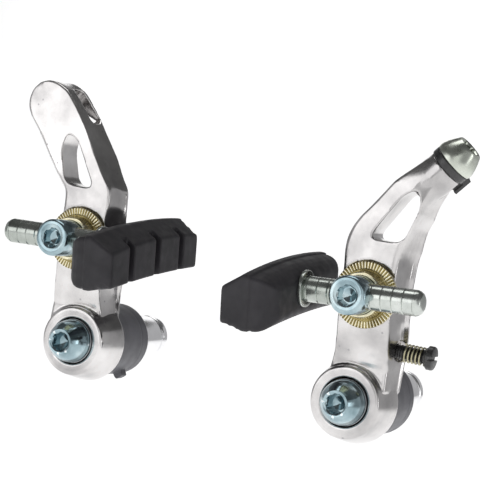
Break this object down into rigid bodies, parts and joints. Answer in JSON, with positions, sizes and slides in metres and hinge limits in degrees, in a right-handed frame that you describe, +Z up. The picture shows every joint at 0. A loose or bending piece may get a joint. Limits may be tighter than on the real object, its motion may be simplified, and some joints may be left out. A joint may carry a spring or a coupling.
{
  "type": "rim brake caliper",
  "caption": "Pair of cantilever rim-brake arms on frame pivots, with clamped post-mounted rubber shoes, return springs, a cable seat and a cable anchor bolt.",
  "frame": {"origin": "midway between the two pivot axes, on the plane of the anchor plates' rear faces", "axes": "+X from the left arm to the right arm, +Y to the rear along the pivots' spigots, +Z up"},
  "size_m": [0.141, 0.0813, 0.09],
  "materials": {
    "arm_alloy": "polished forging, slightly warm",
    "bush_brass": "plain turned",
    "stud_steel": "bright turned",
    "anchor_plate_alloy": "plain pressed",
    "washer_steel": "plain pressed",
    "blue_zinc": "blue passivated zinc",
    "spring_steel": "drawn wire",
    "cover_plastic": "moulded, matt",
    "yellow_zinc": "yellow passivated zinc",
    "post_zinc": "greyish passivated zinc",
    "shoe_rubber": "moulded, matt",
    "insert_steel": "plain pressed",
    "black_steel": "black oxide",
    "anchor_steel": "bright nickel",
    "olive_zinc": "dull zinc wire"
  },
  "bodies": {
    "frame_side": {"left_pivot_stud": "stud_steel", "left_anchor_plate": "anchor_plate_alloy", "left_thrust_washer": "washer_steel", "left_pivot_bolt": "blue_zinc", "left_return_spring": "spring_steel", "right_pivot_stud": "stud_steel", "right_anchor_plate": "anchor_plate_alloy", "right_thrust_washer": "washer_steel", "right_pivot_bolt": "blue_zinc", "right_return_spring": "spring_steel"},
    "left_arm": {"left_arm": "arm_alloy", "left_bush": "bush_brass", "left_spring_cover": "cover_plastic", "left_bevel_washer": "yellow_zinc"},
    "right_arm": {"right_arm": "arm_alloy", "right_bush": "bush_brass", "right_bevel_washer": "yellow_zinc"},
    "right_spring_adjuster": {"right_spring_cover": "cover_plastic"},
    "left_clamp": {"left_eye_bolt": "blue_zinc", "left_serrated_washer": "yellow_zinc", "left_rear_washer": "yellow_zinc", "left_clamp_nut": "blue_zinc"},
    "left_post": {"left_shoe_post": "post_zinc"},
    "left_shoe": {"left_pad": "shoe_rubber", "left_pad_insert": "insert_steel", "left_pad_collar": "post_zinc"},
    "right_clamp": {"right_eye_bolt": "blue_zinc", "right_serrated_washer": "yellow_zinc", "right_rear_washer": "yellow_zinc", "right_clamp_nut": "blue_zinc"},
    "right_post": {"right_shoe_post": "post_zinc"},
    "right_shoe": {"right_pad": "shoe_rubber", "right_pad_insert": "insert_steel", "right_pad_collar": "post_zinc"},
    "right_anchor_clamp": {"right_anchor_washer": "black_steel"},
    "right_anchor_bolt": {"right_anchor_bolt": "anchor_steel"},
    "right_screw_carrier": {"right_screw_washer": "black_steel", "right_screw_spring": "olive_zinc"},
    "right_tension_screw": {"right_tension_screw": "black_steel"}
  },
  "joints": [
    {"name": "left_arm_pivot", "type": "hinge", "parent": "frame_side", "child": "left_arm", "pos_m": [-0.04344, -0.02, 0], "axis": [0, 1, 0], "range_deg": [-14, 9], "stiffness_Nm_per_rad": 0.35, "deforming": ["left_return_spring"]},
    {"name": "right_arm_pivot", "type": "hinge", "parent": "frame_side", "child": "right_arm", "pos_m": [0.04344, -0.02, 0], "axis": [0, 1, 0], "range_deg": [-9, 14], "stiffness_Nm_per_rad": 0.35, "deforming": ["right_return_spring"]},
    {"name": "left_clamp_turn", "type": "hinge", "parent": "left_arm", "child": "left_clamp", "pos_m": [-0.0454, -0.039, 0.03], "axis": [0, 1, 0], "range_deg": [-5, 5]},
    {"name": "left_post_slide", "type": "slide", "parent": "left_clamp", "child": "left_post", "axis": [0.9994, 0, 0.0349], "range_m": [-0.0004, 0.005]},
    {"name": "left_shoe_roll", "type": "hinge", "parent": "left_post", "child": "left_shoe", "pos_m": [-0.0454, -0.039, 0.03], "axis": [0.9994, 0, 0.0349], "range_deg": [-8, 8]},
    {"name": "right_clamp_turn", "type": "hinge", "parent": "right_arm", "child": "right_clamp", "pos_m": [0.0454, -0.039, 0.03], "axis": [0, 1, 0], "range_deg": [-5, 5]},
    {"name": "right_post_slide", "type": "slide", "parent": "right_clamp", "child": "right_post", "axis": [0.9983, 0, 0.0576], "range_m": [-0.005, 0.0004]},
    {"name": "right_shoe_roll", "type": "hinge", "parent": "right_post", "child": "right_shoe", "pos_m": [0.0454, -0.039, 0.03], "axis": [0.9983, 0, 0.0576], "range_deg": [-8, 8]},
    {"name": "right_anchor_lift", "type": "slide", "parent": "right_arm", "child": "right_anchor_clamp", "axis": [0.6626, 0, 0.749], "range_m": [0, 0.0012]},
    {"name": "right_anchor_turn", "type": "hinge", "parent": "right_anchor_clamp", "child": "right_anchor_bolt", "pos_m": [0.06, -0.0254, 0.0672], "axis": [0.6626, 0, 0.749], "range_deg": [0, 432]},
    {"name": "right_screw_travel", "type": "slide", "parent": "right_arm", "child": "right_screw_carrier", "axis": [1, 0, 0], "range_m": [-0.0014, 0.0014], "deforming": ["right_screw_spring"]},
    {"name": "right_screw_turn", "type": "hinge", "parent": "right_screw_carrier", "child": "right_tension_screw", "pos_m": [0.0622, -0.021, 0.0158], "axis": [1, 0, 0], "range_deg": [-720, 720]},
    {"name": "right_adjuster_turn", "type": "hinge", "parent": "right_arm", "child": "right_spring_adjuster", "pos_m": [0.04344, -0.012, 0], "axis": [0, 1, 0], "range_deg": [-5.2, 5.2]}
  ],
  "couplings": [
    {"joint": "right_anchor_turn", "follows": "right_anchor_lift", "rad_per_m": 6276.9},
    {"joint": "right_screw_turn", "follows": "right_screw_travel", "rad_per_m": 8967},
    {"joint": "right_adjuster_turn", "follows": "right_screw_travel", "rad_per_m": 63.228}
  ]
}
